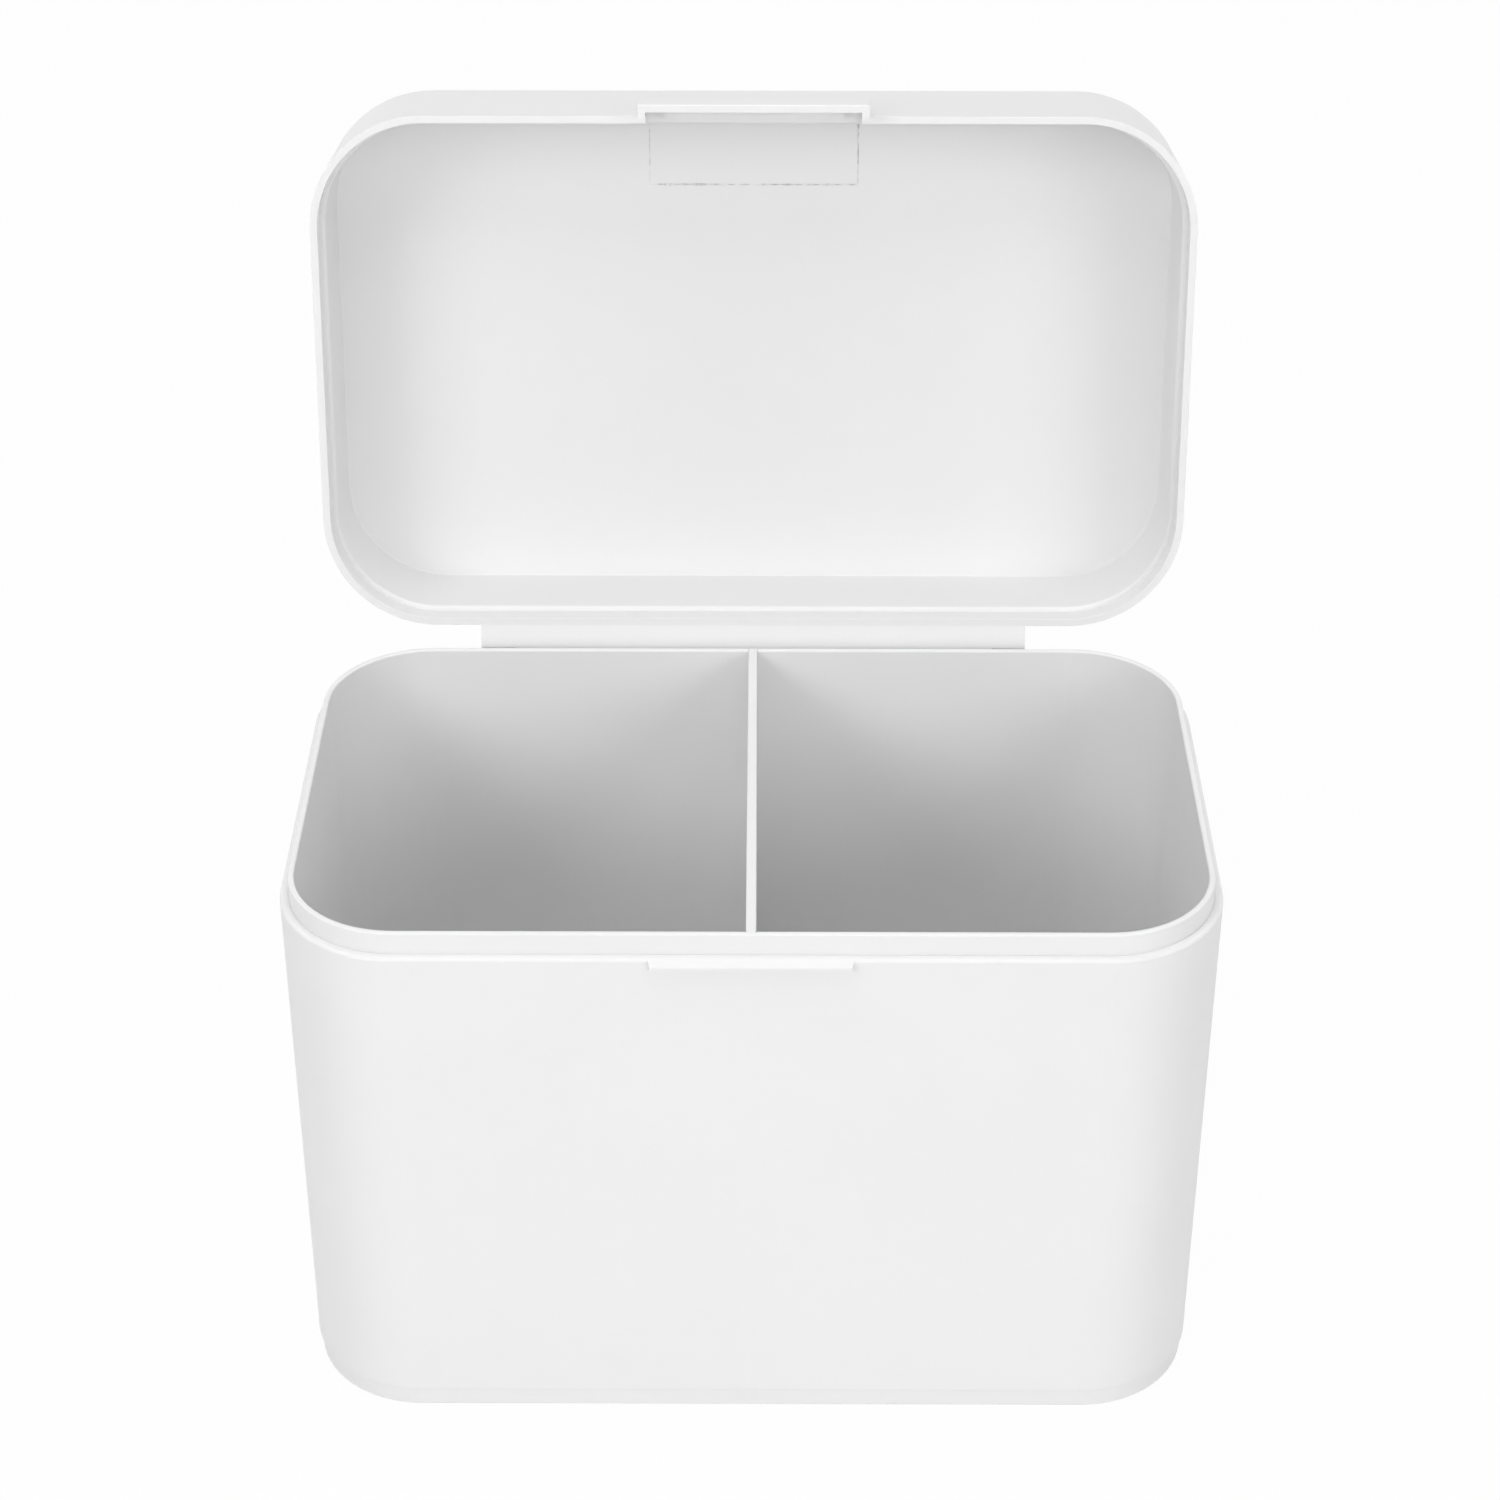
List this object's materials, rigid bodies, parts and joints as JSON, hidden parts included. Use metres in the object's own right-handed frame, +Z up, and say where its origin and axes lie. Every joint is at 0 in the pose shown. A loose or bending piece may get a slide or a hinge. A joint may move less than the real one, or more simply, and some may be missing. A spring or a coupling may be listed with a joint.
{
  "type": "cotton pad organizer",
  "caption": "Small upright storage box with rounded corners, a middle divider making two open compartments and a hinged flip lid with a front thumb tab.",
  "frame": {"origin": "centre of the tub's underside, on the surface it stands on", "axes": "+Z up, +X to the right seen from the front, +Y towards the hinge at the back; the tab and catch are on the -Y side"},
  "size_m": [0.15, 0.1346, 0.1903],
  "materials": {
    "white_plastic": "satin moulded polypropylene, opaque white",
    "pin_steel": "drawn stainless wire"
  },
  "bodies": {
    "tub": {"tub": "white_plastic", "divider": "white_plastic", "hinge_pin_left": "pin_steel", "hinge_pin_right": "pin_steel"},
    "lid": {"lid": "white_plastic"}
  },
  "joints": [
    {"name": "lid_hinge", "type": "hinge", "parent": "tub", "child": "lid", "pos_m": [0, 0.0489, 0.0944], "axis": [1, 0, 0], "range_deg": [0, 100.7]}
  ]
}
